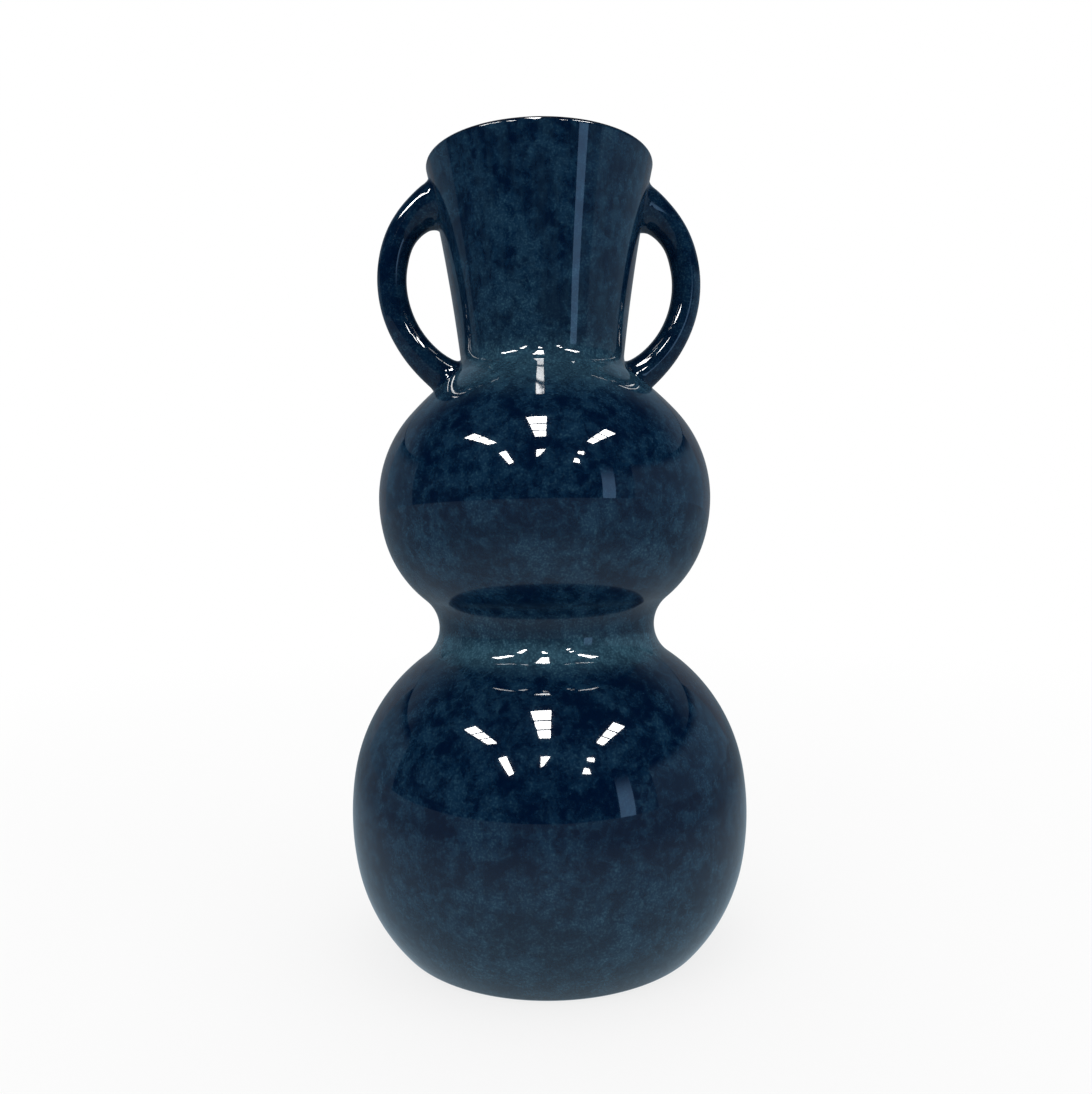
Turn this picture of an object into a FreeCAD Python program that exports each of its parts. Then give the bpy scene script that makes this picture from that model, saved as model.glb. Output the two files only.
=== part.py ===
import FreeCAD, Part
import math
import os

import Sketcher

# A double gourd vase in glazed stoneware, 400 mm tall, with two side handles.
# It is thrown in three sections that are luted together at the waist and at the
# foot of the neck, and its two handles are luted on between neck and shoulder.
# The frame has its origin under the middle of the foot, +Z up, and the handles
# stand out along +X and -X. Lengths are in millimetres and angles in degrees.

SIZES = {
    # The wall and the two lap joints between the thrown sections
    "WallThickness": 6.0,
    "LapHeight": 6.0,
    "LuteGap": 0.3,
    # The foot, turned out underneath
    "FootRadius": 74.4,
    "HeelRadius": 7.6,
    "FootRingWidth": 10.0,
    "FootRecess": 3.0,
    "BaseThickness": 9.0,
    "FloorHeelRadius": 18.0,
    # The lower gourd
    "LowerBellyRadius": 102.1,
    "LowerBellyHeight": 67.1,
    # The waist
    "WaistRise": 93.3,
    "WaistRadius": 56.3,
    "WaistHollow": 18.7,
    # The upper gourd
    "UpperBellyRise": 66.1,
    "UpperBellyRadius": 85.9,
    # The neck, flared to a rounded lip
    "ShoulderRise": 74.5,
    "NeckRadius": 42.9,
    "NeckHollow": 12.0,
    "NeckLength": 99.0,
    "RimRadius": 58.9,
    "LipRadius": 2.2,
    # The handles
    "HandleInset": 20.4,
    "HandleReach": 55.0,
    "HandleThickness": 15.2,
}

# Each side of a belly has an arc of its own next to its widest line, flatter or rounder
# than a single arc that would do the whole side. These are its radius
# and its turn, as shares of those of that single arc.
LOWER_BELOW_SHARES = (1.2382, 0.2759)
LOWER_ABOVE_SHARES = (1.3191, 0.174)
UPPER_BELOW_SHARES = (1.1273, 0.3254)
UPPER_ABOVE_SHARES = (0.905, 0.69)

# The slope of the neck at its foot, as a share of the slope from foot to rim.
NECK_SLOPE_SHARE = 0.719

# A handle's centre line bends round a point inside the neck. Its height above the
# foot of the neck and its half height are shares of the neck's length.
HANDLE_HEIGHT_SHARE = 0.404
HANDLE_RISE_SHARE = 0.5556

# The round sections of a handle, from its lower root to its upper one: the angle
# round that point, the share of the reach, and the share of the thickness.
HANDLE_SECTION_SHARES = (
    (-86.0, 1.07, 1.75),
    (-70.0, 1.06, 1.44),
    (-56.0, 1.04, 1.19),
    (-38.0, 1.02, 1.05),
    (-15.0, 1.005, 1.0),
    (8.0, 0.995, 1.0),
    (26.0, 0.985, 1.05),
    (38.0, 0.955, 1.22),
    (50.0, 0.905, 1.56),
    (68.0, 0.85, 1.5),
)

START = 1
END = 2
CENTRE = 3
SKETCH_ORIGIN = (-1, 1)
UPRIGHT = 90.0
HALF_TURN = 180.0
FULL_TURN = 360.0

# A collar is half as thick as its wall, and a radius is half of a thickness.
COLLAR_SHARE = 0.5
RADIUS_SHARE = 0.5


class Bound:
    """A number together with the sheet expression that it comes from."""

    def __init__(self, value, text):
        self.value = value
        self.text = text

    def combine(self, other, sign, value):
        return Bound(value, "(%s %s %s)" % (self.text, sign, other.text))

    def __add__(self, other):
        return self.combine(other, "+", self.value + other.value)

    def __sub__(self, other):
        return self.combine(other, "-", self.value - other.value)

    def __mul__(self, other):
        if isinstance(other, Bound):
            return self.combine(other, "*", self.value * other.value)
        return Bound(self.value * other, "(%s * %.6f)" % (self.text, other))

    def __truediv__(self, other):
        return self.combine(other, "/", self.value / other.value)

    def slope_over(self, run):
        """The angle in degrees whose tangent is this rise over that run."""
        value = math.degrees(math.atan(self.value / run.value))
        return Bound(value, "atan(%s / %s)" % (self.text, run.text))

    def times_sine(self, angle):
        value = self.value * math.sin(math.radians(angle.value))
        return Bound(value, "(%s * sin(%s))" % (self.text, angle.text))

    def times_cosine(self, angle):
        value = self.value * math.cos(math.radians(angle.value))
        return Bound(value, "(%s * cos(%s))" % (self.text, angle.text))


class FlatArc:
    """The arc beside a belly's widest line, on the way to a circle that it eases into.

    A single arc could leave the widest line upright and touch that circle. This one
    turns through only some of its angle, with a share of its radius: above one where
    the belly is flatter at its widest line, and below one where it is rounder there.
    """

    def __init__(self, run, rise, circle_radius, outside, shares):
        radius_share, turn_share = shares
        reach = run + circle_radius if outside else run - circle_radius
        square = run * run + rise * rise - circle_radius * circle_radius
        single = square / (reach * 2)
        self.radius = single * radius_share
        self.turn = rise.slope_over(single - run) * turn_share


class Belly:
    """A gourd's widest line, with the flat arcs below and above it."""

    def __init__(self, radius, height, below, above):
        self.radius = radius
        self.height = height
        self.below = below
        self.above = above


class Sizes:
    """The sheet of driving dimensions, one attribute for each alias."""

    def __init__(self, doc):
        self.sheet = doc.addObject("Spreadsheet::Sheet", "Sizes")
        for row, (alias, value) in enumerate(SIZES.items(), start=1):
            self.sheet.set("A%d" % row, alias)
            self.sheet.set("B%d" % row, str(value))
            self.sheet.setAlias("B%d" % row, alias)
            setattr(self, alias, Bound(value, "Sizes.%s" % alias))
        doc.recompute()
        self.nothing = Bound(0.0, "0")
        self.waist_height = self.LowerBellyHeight + self.WaistRise
        self.upper_belly_height = self.waist_height + self.UpperBellyRise
        self.neck_height = self.upper_belly_height + self.ShoulderRise
        self.rim_height = self.neck_height + self.NeckLength
        flare = self.RimRadius - self.NeckRadius
        self.neck_slope = flare.slope_over(self.NeckLength) * NECK_SLOPE_SHARE
        self.waist_centre_radius = self.WaistRadius + self.WaistHollow
        self.hollow_centre_radius = self.NeckRadius + self.NeckHollow.times_cosine(self.neck_slope)
        self.hollow_height = self.neck_height - self.NeckHollow.times_sine(self.neck_slope)
        self.lower_belly = self.find_lower_belly()
        self.upper_belly = self.find_upper_belly()

    def find_lower_belly(self):
        radius = self.LowerBellyRadius
        height = self.LowerBellyHeight
        run = radius - self.FootRadius
        rise = height - self.HeelRadius
        below = FlatArc(run, rise, self.HeelRadius, False, LOWER_BELOW_SHARES)
        run = radius - self.waist_centre_radius
        above = FlatArc(run, self.WaistRise, self.WaistHollow, True, LOWER_ABOVE_SHARES)
        return Belly(radius, height, below, above)

    def find_upper_belly(self):
        radius = self.UpperBellyRadius
        height = self.upper_belly_height
        run = radius - self.waist_centre_radius
        below = FlatArc(run, self.UpperBellyRise, self.WaistHollow, True, UPPER_BELOW_SHARES)
        run = radius - self.hollow_centre_radius
        rise = self.hollow_height - height
        above = FlatArc(run, rise, self.NeckHollow, True, UPPER_ABOVE_SHARES)
        return Belly(radius, height, below, above)

    def waist_centre(self):
        """The centre of the waist's hollow."""
        return point(self.waist_centre_radius, self.waist_height)

    def hollow_centre(self):
        """The centre of the hollow where the neck rises from the shoulder."""
        return point(self.hollow_centre_radius, self.hollow_height)


def polar(angle):
    """The unit vector at an angle in degrees from the sketch's horizontal."""
    turn = math.radians(angle)
    return FreeCAD.Vector(math.cos(turn), math.sin(turn), 0)


def angle_of(vector):
    """The angle in degrees of a vector in the sketch."""
    return math.degrees(math.atan2(vector.y, vector.x))


def point(x, y):
    """A sketch point from two bound lengths."""
    return FreeCAD.Vector(x.value, y.value, 0)


class Edge:
    """One edge of an outline, with the sketch's number for each of its ends."""

    def __init__(self, number, foot, head):
        self.number = number
        self.foot = foot
        self.head = head


class Outline:
    """A closed sketch in a body's XZ plane, drawn edge by edge and bound to the sheet."""

    def __init__(self, body, name):
        self.sketch = new_sketch(body, name, "XZ_Plane")

    def line(self, foot, head):
        number = self.sketch.addGeometry(Part.LineSegment(foot, head), False)
        return Edge(number, START, END)

    def arc(self, centre, radius, foot_angle, head_angle, guide=False):
        low, high = sorted((foot_angle, head_angle))
        circle = Part.Circle(centre, FreeCAD.Vector(0, 0, 1), radius)
        curve = Part.ArcOfCircle(circle, math.radians(low), math.radians(high))
        number = self.sketch.addGeometry(curve, guide)
        if foot_angle < head_angle:
            return Edge(number, START, END)
        return Edge(number, END, START)

    def bind(self, kind, where, value):
        number = self.sketch.addConstraint(Sketcher.Constraint(kind, *where, value.value))
        self.sketch.setExpression("Constraints[%d]" % number, value.text)

    def place(self, edge, end, x=None, y=None):
        """Hold one point of an edge at a bound distance from the origin."""
        where = (*SKETCH_ORIGIN, edge.number, end)
        if x is not None:
            self.bind("DistanceX", where, x)
        if y is not None:
            self.bind("DistanceY", where, y)

    def radius(self, edge, value):
        self.bind("Radius", (edge.number,), value)

    def spoke(self, edge, end, angle):
        """Hold the direction from an arc's end to its centre, below the horizontal."""
        at_end = self.sketch.getPoint(edge.number, end)
        at_centre = self.sketch.getPoint(edge.number, CENTRE)
        number = self.sketch.addGeometry(Part.LineSegment(at_end, at_centre), True)
        join = Sketcher.Constraint("Coincident", number, START, edge.number, end)
        self.sketch.addConstraint(join)
        join = Sketcher.Constraint("Coincident", number, END, edge.number, CENTRE)
        self.sketch.addConstraint(join)
        downward = Bound(-math.radians(angle.value), "-%s" % angle.text)
        self.bind("Angle", (number,), downward)

    def meet(self, kind, first, first_end, second, second_end):
        where = (first.number, first_end, second.number, second_end)
        self.sketch.addConstraint(Sketcher.Constraint(kind, *where))

    def concentric(self, first, second):
        self.meet("Coincident", first, CENTRE, second, CENTRE)

    def chain(self, edges):
        """Join arcs head to foot, each tangent to the next."""
        for lower, upper in zip(edges, edges[1:]):
            self.meet("Tangent", lower, lower.head, upper, upper.foot)

    def corners(self, edges):
        """Join edges head to foot with plain corners."""
        for lower, upper in zip(edges, edges[1:]):
            self.meet("Coincident", lower, lower.head, upper, upper.foot)


def origin_plane(body, role):
    return next(item for item in body.Origin.OriginFeatures if item.Role == role)


def new_sketch(body, name, role):
    """A sketch attached to one of its own body's origin planes."""
    sketch = body.newObject("Sketcher::SketchObject", name)
    sketch.AttachmentSupport = [(origin_plane(body, role), "")]
    sketch.MapMode = "FlatFace"
    return sketch


def easing_arc(start, normal, other_centre, other_radius, outside):
    """The arc that leaves a point square to a normal and touches a circle.

    It gives the arc's centre, its radius and the direction of the touching
    point from that centre. The circle lies outside the arc, or inside it.
    """
    reach = -other_radius if outside else other_radius
    gap = start - other_centre
    radius = (gap.dot(gap) - reach * reach) / (2 * (gap.dot(normal) - reach))
    centre = start - normal * radius
    return centre, radius, angle_of(other_centre - centre)


def belly_arcs(draw, belly, inset):
    """The two flat arcs of a belly, which meet at its widest line."""
    low_radius = belly.below.radius - inset
    high_radius = belly.above.radius - inset
    low_centre = point(belly.radius - belly.below.radius, belly.height)
    high_centre = point(belly.radius - belly.above.radius, belly.height)
    low = draw.arc(low_centre, low_radius.value, -belly.below.turn.value, 0.0)
    high = draw.arc(high_centre, high_radius.value, 0.0, belly.above.turn.value)
    draw.radius(low, low_radius)
    draw.radius(high, high_radius)
    draw.place(low, CENTRE, belly.radius - belly.below.radius, belly.height)
    draw.place(low, low.foot, y=belly.height - low_radius.times_sine(belly.below.turn))
    draw.place(low, low.head, y=belly.height)
    draw.place(high, high.head, y=belly.height + high_radius.times_sine(belly.above.turn))
    return low, high


def ease_from(belly, flat, turn, inset, target, target_radius, outside):
    """The easing arc from the far end of one of a belly's flat arcs."""
    normal = polar(turn)
    centre = point(belly.radius - flat.radius, belly.height)
    start = centre + normal * (flat.radius - inset).value
    return easing_arc(start, normal, target, target_radius.value, outside)


def ease_below(draw, belly, inset, target, target_radius, outside):
    """The arc that eases from a belly's lower flat arc into a circle below it."""
    turn = -belly.below.turn.value
    centre, radius, angle = ease_from(
        belly, belly.below, turn, inset, target, target_radius, outside
    )
    return draw.arc(centre, radius, angle, turn), angle


def ease_above(draw, belly, inset, target, target_radius):
    """The arc that eases from a belly's upper flat arc into a hollow above it."""
    turn = belly.above.turn.value
    centre, radius, angle = ease_from(belly, belly.above, turn, inset, target, target_radius, True)
    return draw.arc(centre, radius, turn, angle), angle + HALF_TURN


def lower_outside(draw, size):
    """The lower gourd's outer face, from its heel up to the waist arc."""
    belly = size.lower_belly
    nothing = size.nothing
    heel_centre = point(size.FootRadius, size.HeelRadius)
    under, heel_top = ease_below(draw, belly, nothing, heel_centre, size.HeelRadius, False)
    heel = draw.arc(heel_centre, size.HeelRadius.value, -UPRIGHT, heel_top)
    draw.radius(heel, size.HeelRadius)
    low, high = belly_arcs(draw, belly, nothing)
    over, waist_foot = ease_above(draw, belly, nothing, size.waist_centre(), size.WaistHollow)
    return [heel, under, low, high, over], waist_foot


def lower_inside(draw, size, outer_under):
    """Its inner face, one wall inside, from the rounded edge of the floor up."""
    belly = size.lower_belly
    wall = size.WallThickness
    heel_centre = point(size.FootRadius, size.HeelRadius)
    turn = -belly.below.turn.value
    centre, radius, _ = ease_from(
        belly, belly.below, turn, size.nothing, heel_centre, size.HeelRadius, False
    )

    drop = centre.y - (size.BaseThickness + size.FloorHeelRadius).value
    reach = radius - (wall + size.FloorHeelRadius).value
    corner_centre = FreeCAD.Vector(
        centre.x + math.sqrt(reach * reach - drop * drop), centre.y - drop, 0
    )
    corner_top = angle_of(corner_centre - centre)
    corner = draw.arc(corner_centre, size.FloorHeelRadius.value, -UPRIGHT, corner_top)
    under = draw.arc(centre, radius - wall.value, corner_top, turn)
    draw.radius(corner, size.FloorHeelRadius)
    draw.concentric(under, outer_under)
    low, high = belly_arcs(draw, belly, wall)
    hollow_radius = size.WaistHollow + wall
    over, waist_foot = ease_above(draw, belly, wall, size.waist_centre(), hollow_radius)
    return [corner, under, low, high, over], waist_foot


def waist_arc(draw, size, inset, foot_angle, head_angle):
    """An arc of the waist's hollow, the same for both gourds."""
    radius = size.WaistHollow + inset
    edge = draw.arc(size.waist_centre(), radius.value, foot_angle, head_angle)
    draw.radius(edge, radius)
    draw.place(edge, CENTRE, size.waist_centre_radius, size.waist_height)
    return edge


def upper_side(draw, size, inset):
    """One face of the upper gourd's wall, between the waist and the neck's hollow."""
    belly = size.upper_belly
    waist_radius = size.WaistHollow + inset
    under, waist_top = ease_below(draw, belly, inset, size.waist_centre(), waist_radius, True)
    low, high = belly_arcs(draw, belly, inset)
    over, hollow_foot = ease_above(draw, belly, inset, size.hollow_centre(), size.NeckHollow + inset)
    return [under, low, high, over], waist_top + HALF_TURN, hollow_foot


def neck_hollow_arc(draw, size, inset, foot_angle, head_angle):
    """An arc of the neck's hollow, the same for the shoulder and the neck."""
    radius = size.NeckHollow + inset
    edge = draw.arc(size.hollow_centre(), radius.value, foot_angle, head_angle)
    draw.radius(edge, radius)
    draw.place(edge, CENTRE, size.hollow_centre_radius, size.hollow_height)
    return edge


def flare_arc(draw, size, inset, lip_is_outside):
    """One face of the neck's wall, from the neck's foot to where the lip rounds over."""
    normal = polar(-size.neck_slope.value)
    foot = point(size.NeckRadius, size.neck_height) - normal * inset.value
    lip_centre = point(size.RimRadius - size.LipRadius, size.rim_height - size.LipRadius)
    centre, radius, lip_angle = easing_arc(
        foot, normal * -1, lip_centre, size.LipRadius.value, lip_is_outside
    )
    lip_angle %= FULL_TURN
    edge = draw.arc(centre, radius, HALF_TURN - size.neck_slope.value, lip_angle)
    return edge, lip_angle


def lip_arc(draw, size, foot_angle, head_angle, guide=False):
    """The rounding of the lip, between the neck's outer and inner faces."""
    centre_x = size.RimRadius - size.LipRadius
    centre_y = size.rim_height - size.LipRadius
    edge = draw.arc(point(centre_x, centre_y), size.LipRadius.value, foot_angle, head_angle, guide)
    draw.radius(edge, size.LipRadius)
    draw.place(edge, CENTRE, centre_x, centre_y)
    return edge


def height_angle(centre, radius, height):
    """The angle, on a hollow's near side, of the point at a height."""
    return HALF_TURN - math.degrees(math.asin((height.value - centre.y) / radius.value))


def revolve(body, draw):
    """Turn an outline once round the pot's axis."""
    turned = body.newObject("PartDesign::Revolution", body.Name + "_turned")
    turned.Profile = draw.sketch
    turned.ReferenceAxis = (draw.sketch, ["V_Axis"])
    turned.Angle = FULL_TURN
    draw.sketch.Visibility = False
    body.Tip = turned


def make_lower_gourd(doc, size):
    """The foot, the lower gourd and the collar that laps inside the upper one."""
    body = doc.addObject("PartDesign::Body", "lower_gourd")
    draw = Outline(body, "lower_gourd_section")
    nothing = size.nothing

    outer, outer_top = lower_outside(draw, size)
    outer.append(waist_arc(draw, size, nothing, outer_top, HALF_TURN))
    draw.chain(outer)
    draw.place(outer[-1], outer[-1].head, y=size.waist_height)

    inner, inner_top = lower_inside(draw, size, outer[1])
    collar_height = size.waist_height + size.LapHeight
    inner_waist = size.WaistHollow + size.WallThickness
    collar_angle = height_angle(size.waist_centre(), inner_waist, collar_height)
    inner.append(waist_arc(draw, size, size.WallThickness, inner_top, collar_angle))
    # The arc above the corner is concentric with the outer one, so it is tangent to
    # the flat arc above it without being told.
    draw.chain(inner[:2])
    draw.corners(inner[1:3])
    draw.chain(inner[2:])
    draw.place(inner[-1], inner[-1].head, y=collar_height)

    collar_radius = size.WaistRadius - size.WallThickness * COLLAR_SHARE - size.LuteGap
    collar_inside = draw.sketch.getPoint(inner[-1].number, inner[-1].head)
    top = [
        draw.line(point(size.WaistRadius, size.waist_height), point(collar_radius, size.waist_height)),
        draw.line(point(collar_radius, size.waist_height), point(collar_radius, collar_height)),
        draw.line(point(collar_radius, collar_height), collar_inside),
    ]
    draw.corners(top)
    draw.meet("Coincident", outer[-1], outer[-1].head, top[0], top[0].foot)
    draw.meet("Coincident", top[-1], top[-1].head, inner[-1], inner[-1].head)
    draw.place(top[1], top[1].foot, collar_radius, size.waist_height)
    draw.place(top[1], top[1].head, collar_radius, collar_height)

    ring_inside = size.FootRadius - size.FootRingWidth
    recess_radius = ring_inside - size.FootRecess
    corner_foot = draw.sketch.getPoint(inner[0].number, inner[0].foot)
    base = [
        draw.line(corner_foot, point(nothing, size.BaseThickness)),
        draw.line(point(nothing, size.BaseThickness), point(nothing, size.FootRecess)),
        draw.line(point(nothing, size.FootRecess), point(recess_radius, size.FootRecess)),
        draw.line(point(recess_radius, size.FootRecess), point(ring_inside, nothing)),
        draw.line(point(ring_inside, nothing), point(size.FootRadius, nothing)),
    ]
    draw.corners(base)
    draw.meet("Tangent", inner[0], inner[0].foot, base[0], base[0].foot)
    draw.meet("Tangent", base[-1], base[-1].head, outer[0], outer[0].foot)
    draw.place(base[0], base[0].foot, y=size.BaseThickness)
    draw.place(base[1], base[1].foot, nothing, size.BaseThickness)
    draw.place(base[2], base[2].foot, nothing, size.FootRecess)
    draw.place(base[3], base[3].foot, recess_radius, size.FootRecess)
    draw.place(base[4], base[4].foot, ring_inside, nothing)
    draw.place(base[4], base[4].head, size.FootRadius, nothing)

    revolve(body, draw)
    return body


def make_upper_gourd(doc, size):
    """The upper gourd, with a seat for the lower collar and one for the neck's."""
    body = doc.addObject("PartDesign::Body", "upper_gourd")
    draw = Outline(body, "upper_gourd_section")
    nothing = size.nothing
    neck_angle = HALF_TURN - size.neck_slope.value

    side, waist_top, hollow_foot = upper_side(draw, size, nothing)
    waist = waist_arc(draw, size, nothing, HALF_TURN, waist_top)
    hollow = neck_hollow_arc(draw, size, nothing, hollow_foot, neck_angle)
    outer = [waist, *side, hollow]
    draw.chain(outer)
    draw.place(outer[0], outer[0].foot, y=size.waist_height)
    draw.place(outer[-1], outer[-1].head, y=size.neck_height)

    seat_height = size.waist_height + size.LapHeight + size.LuteGap
    rebate_height = size.neck_height - size.LapHeight - size.LuteGap
    inner_waist = size.WaistHollow + size.WallThickness
    inner_hollow = size.NeckHollow + size.WallThickness
    seat_angle = height_angle(size.waist_centre(), inner_waist, seat_height)
    rebate_angle = height_angle(size.hollow_centre(), inner_hollow, rebate_height)
    side, waist_top, hollow_foot = upper_side(draw, size, size.WallThickness)
    waist = waist_arc(draw, size, size.WallThickness, seat_angle, waist_top)
    hollow = neck_hollow_arc(draw, size, size.WallThickness, hollow_foot, rebate_angle)
    inner = [waist, *side, hollow]
    draw.chain(inner)
    draw.place(inner[0], inner[0].foot, y=seat_height)
    draw.place(inner[-1], inner[-1].head, y=rebate_height)

    seat_radius = size.WaistRadius - size.WallThickness * COLLAR_SHARE
    seat_inside = draw.sketch.getPoint(inner[0].number, inner[0].foot)
    seat = [
        draw.line(seat_inside, point(seat_radius, seat_height)),
        draw.line(point(seat_radius, seat_height), point(seat_radius, size.waist_height)),
        draw.line(point(seat_radius, size.waist_height), point(size.WaistRadius, size.waist_height)),
    ]
    draw.corners(seat)
    draw.meet("Coincident", inner[0], inner[0].foot, seat[0], seat[0].foot)
    draw.meet("Coincident", seat[-1], seat[-1].head, outer[0], outer[0].foot)
    draw.place(seat[1], seat[1].foot, seat_radius, seat_height)
    draw.place(seat[1], seat[1].head, seat_radius, size.waist_height)

    rebate_radius = size.NeckRadius - size.WallThickness * COLLAR_SHARE
    rebate_inside = draw.sketch.getPoint(inner[-1].number, inner[-1].head)
    rebate = [
        draw.line(point(size.NeckRadius, size.neck_height), point(rebate_radius, size.neck_height)),
        draw.line(point(rebate_radius, size.neck_height), point(rebate_radius, rebate_height)),
        draw.line(point(rebate_radius, rebate_height), rebate_inside),
    ]
    draw.corners(rebate)
    draw.meet("Coincident", outer[-1], outer[-1].head, rebate[0], rebate[0].foot)
    draw.meet("Coincident", rebate[-1], rebate[-1].head, inner[-1], inner[-1].head)
    draw.place(rebate[1], rebate[1].foot, rebate_radius, size.neck_height)
    draw.place(rebate[1], rebate[1].head, rebate_radius, rebate_height)

    revolve(body, draw)
    return body


def make_neck(doc, size):
    """The flared neck, with its collar below and its rounded lip above."""
    body = doc.addObject("PartDesign::Body", "flared_neck")
    draw = Outline(body, "flared_neck_section")
    neck_angle = HALF_TURN - size.neck_slope.value

    outer, outer_lip = flare_arc(draw, size, size.nothing, True)
    inner, inner_lip = flare_arc(draw, size, size.WallThickness, False)
    draw.spoke(outer, outer.foot, size.neck_slope)
    draw.spoke(inner, inner.foot, size.neck_slope)
    lip = lip_arc(draw, size, outer_lip - HALF_TURN, inner_lip)
    draw.meet("Tangent", outer, outer.head, lip, lip.foot)
    draw.meet("Tangent", lip, lip.head, inner, inner.head)
    draw.place(outer, outer.foot, size.NeckRadius, size.neck_height)

    collar_height = size.neck_height - size.LapHeight
    inner_hollow = size.NeckHollow + size.WallThickness
    collar_angle = height_angle(size.hollow_centre(), inner_hollow, collar_height)
    hollow = neck_hollow_arc(draw, size, size.WallThickness, collar_angle, neck_angle)
    draw.meet("Tangent", hollow, hollow.head, inner, inner.foot)
    draw.place(hollow, hollow.foot, y=collar_height)

    collar_radius = size.NeckRadius - size.WallThickness * COLLAR_SHARE - size.LuteGap
    collar_inside = draw.sketch.getPoint(hollow.number, hollow.foot)
    collar = [
        draw.line(collar_inside, point(collar_radius, collar_height)),
        draw.line(point(collar_radius, collar_height), point(collar_radius, size.neck_height)),
        draw.line(point(collar_radius, size.neck_height), point(size.NeckRadius, size.neck_height)),
    ]
    draw.corners(collar)
    draw.meet("Coincident", hollow, hollow.foot, collar[0], collar[0].foot)
    draw.meet("Coincident", collar[-1], collar[-1].head, outer, outer.foot)
    draw.place(collar[1], collar[1].foot, collar_radius, collar_height)
    draw.place(collar[1], collar[1].head, collar_radius, size.neck_height)

    revolve(body, draw)
    return body


def handle_section(body, size, number, side, angle, reach_share, thickness_share):
    """One round section of a handle, square to its bend."""
    sketch = new_sketch(body, "%s_section_%d" % (body.Name, number), "XY_Plane")
    reach = size.HandleReach * reach_share
    rise = size.NeckLength * (HANDLE_RISE_SHARE * reach_share)
    turn = Bound(angle, "%.6f" % angle)
    across = size.NeckRadius - size.HandleInset + reach.times_cosine(turn)
    up = size.neck_height + size.NeckLength * HANDLE_HEIGHT_SHARE + rise.times_sine(turn)
    sketch.AttachmentOffset = FreeCAD.Placement(
        FreeCAD.Vector(side * across.value, 0, up.value),
        FreeCAD.Rotation(FreeCAD.Vector(0, 1, 0), -side * angle),
    )
    sketch.setExpression("AttachmentOffset.Base.x", "%d * %s" % (side, across.text))
    sketch.setExpression("AttachmentOffset.Base.z", up.text)
    radius = size.HandleThickness * (RADIUS_SHARE * thickness_share)
    circle = Part.Circle(FreeCAD.Vector(0, 0, 0), FreeCAD.Vector(0, 0, 1), radius.value)
    ring = sketch.addGeometry(circle, False)
    sketch.addConstraint(Sketcher.Constraint("Coincident", ring, CENTRE, *SKETCH_ORIGIN))
    held = sketch.addConstraint(Sketcher.Constraint("Radius", ring, radius.value))
    sketch.setExpression("Constraints[%d]" % held, radius.text)
    return sketch


def pot_outline(body, size):
    """The pot from its waist to its lip as one solid outline, to cut a handle's seat."""
    draw = Outline(body, body.Name + "_seat")
    nothing = size.nothing
    neck_angle = HALF_TURN - size.neck_slope.value
    side_edges, waist_top, hollow_foot = upper_side(draw, size, nothing)
    waist = waist_arc(draw, size, nothing, HALF_TURN, waist_top)
    hollow = neck_hollow_arc(draw, size, nothing, hollow_foot, neck_angle)
    flare, lip_angle = flare_arc(draw, size, nothing, True)
    lip = lip_arc(draw, size, lip_angle - HALF_TURN, UPRIGHT, guide=True)
    draw.chain([waist, *side_edges, hollow, flare, lip])
    draw.place(waist, waist.foot, y=size.waist_height)
    draw.place(hollow, hollow.head, y=size.neck_height)
    draw.place(lip, lip.head, x=size.RimRadius - size.LipRadius)
    flare_top = draw.sketch.getPoint(flare.number, flare.head)
    closing = [
        draw.line(flare_top, point(nothing, size.rim_height)),
        draw.line(point(nothing, size.rim_height), point(nothing, size.waist_height)),
        draw.line(point(nothing, size.waist_height), point(size.WaistRadius, size.waist_height)),
    ]
    draw.corners([flare, *closing, waist])
    draw.place(closing[1], closing[1].foot, nothing, size.rim_height)
    draw.place(closing[1], closing[1].head, nothing, size.waist_height)
    return draw


def make_handle(doc, size, name, side):
    """A handle that swells into both roots, cut to sit on the neck and the shoulder."""
    body = doc.addObject("PartDesign::Body", name)
    sections = [
        handle_section(body, size, number, side, *shares)
        for number, shares in enumerate(HANDLE_SECTION_SHARES)
    ]
    grip = body.newObject("PartDesign::AdditiveLoft", name + "_grip")
    grip.Profile = sections[0]
    grip.Sections = sections[1:]
    grip.Ruled = False
    grip.Closed = False
    doc.recompute()
    whole = grip.Shape.Volume

    draw = pot_outline(body, size)
    seat = body.newObject("PartDesign::Groove", name + "_seat_cut")
    seat.Profile = draw.sketch
    seat.ReferenceAxis = (draw.sketch, ["V_Axis"])
    seat.Angle = FULL_TURN
    body.Tip = seat
    doc.recompute()
    if not 0 < seat.Shape.Volume < whole:
        raise RuntimeError("%s: the seat cut took nothing away" % name)
    return body


def check(doc, bodies):
    """Stop at any failed feature and at any piece that isn't one sound solid."""
    for item in doc.Objects:
        if {"Invalid", "Error"} & set(item.State):
            raise RuntimeError("%s did not recompute: %s" % (item.Name, item.State))
    for body in bodies:
        shape = body.Shape
        if shape.isNull() or not shape.isValid() or len(shape.Solids) != 1:
            raise RuntimeError("%s is not one sound solid" % body.Label)


def main():
    doc = FreeCAD.newDocument("double_gourd_vase")
    size = Sizes(doc)
    bodies = [
        make_lower_gourd(doc, size),
        make_upper_gourd(doc, size),
        make_neck(doc, size),
        make_handle(doc, size, "handle_left", -1),
        make_handle(doc, size, "handle_right", 1),
    ]
    doc.recompute()
    check(doc, bodies)
    os.makedirs("parts", exist_ok=True)
    for body in bodies:
        body.Shape.exportStep(os.path.join("parts", body.Label + ".step"))
        box = body.Shape.optimalBoundingBox(False)
        print("%-12s volume %9.0f  z %6.2f to %6.2f  x %7.2f to %7.2f" % (
            body.Label, body.Shape.Volume, box.ZMin, box.ZMax, box.XMin, box.XMax))


main()
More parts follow.
